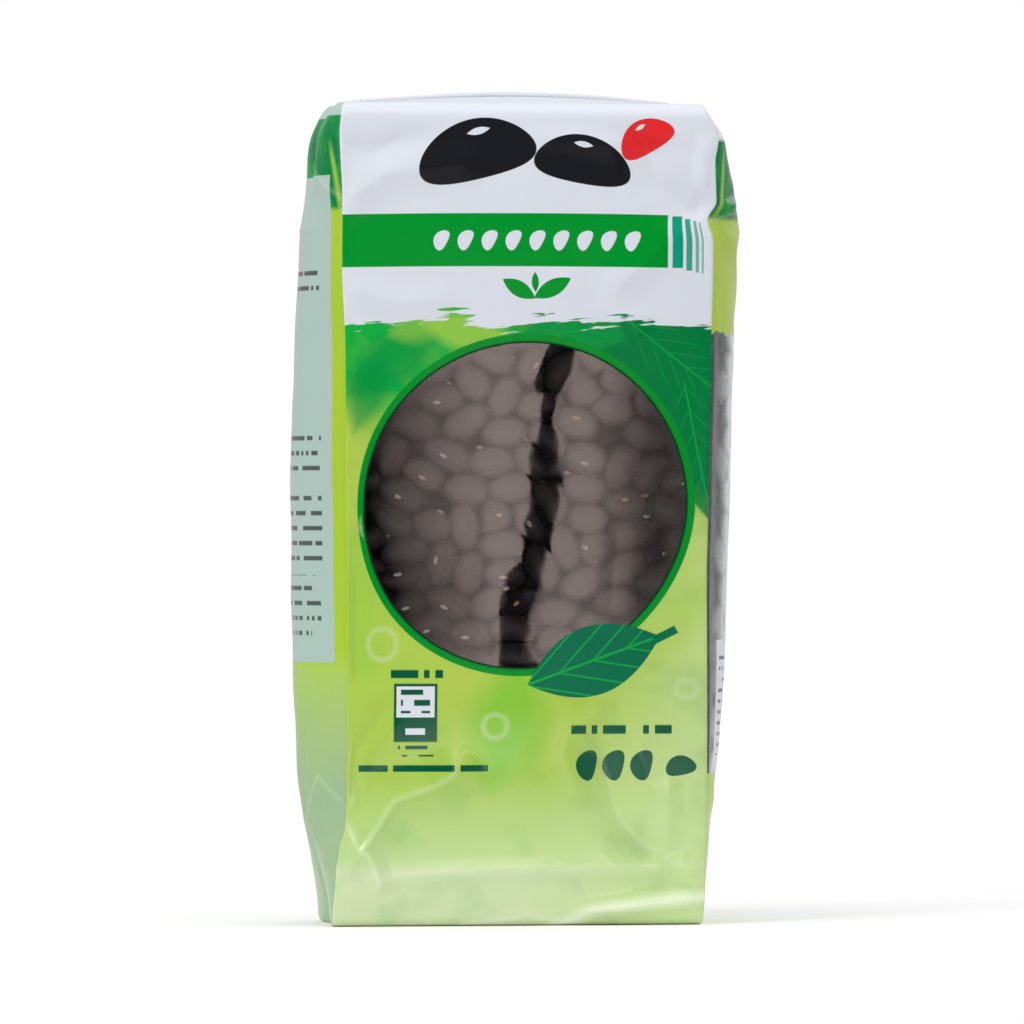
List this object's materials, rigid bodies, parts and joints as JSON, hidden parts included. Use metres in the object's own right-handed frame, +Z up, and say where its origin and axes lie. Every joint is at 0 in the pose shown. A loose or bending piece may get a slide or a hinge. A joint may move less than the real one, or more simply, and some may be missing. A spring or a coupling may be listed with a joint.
{
  "type": "bag of dried beans",
  "caption": "Side-gusset film bag packed tight with dried black beans, printed front with a round clear window, standing on its folded flat base.",
  "frame": {"origin": "middle of the bag, on the surface it stands on", "axes": "+Z up the bag's height, -Y out of the printed front panel with the window, +X to the right seen from the front"},
  "size_m": [0.101, 0.046, 0.1841],
  "materials": {
    "printed_film": "printed, glossy, drawn tight over the contents",
    "clear_film": "clear, glossy, slightly hazy",
    "beans": "satin dark seed coat"
  },
  "bodies": {
    "root": {"bag_of_beans": "printed_film"}
  },
  "joints": []
}
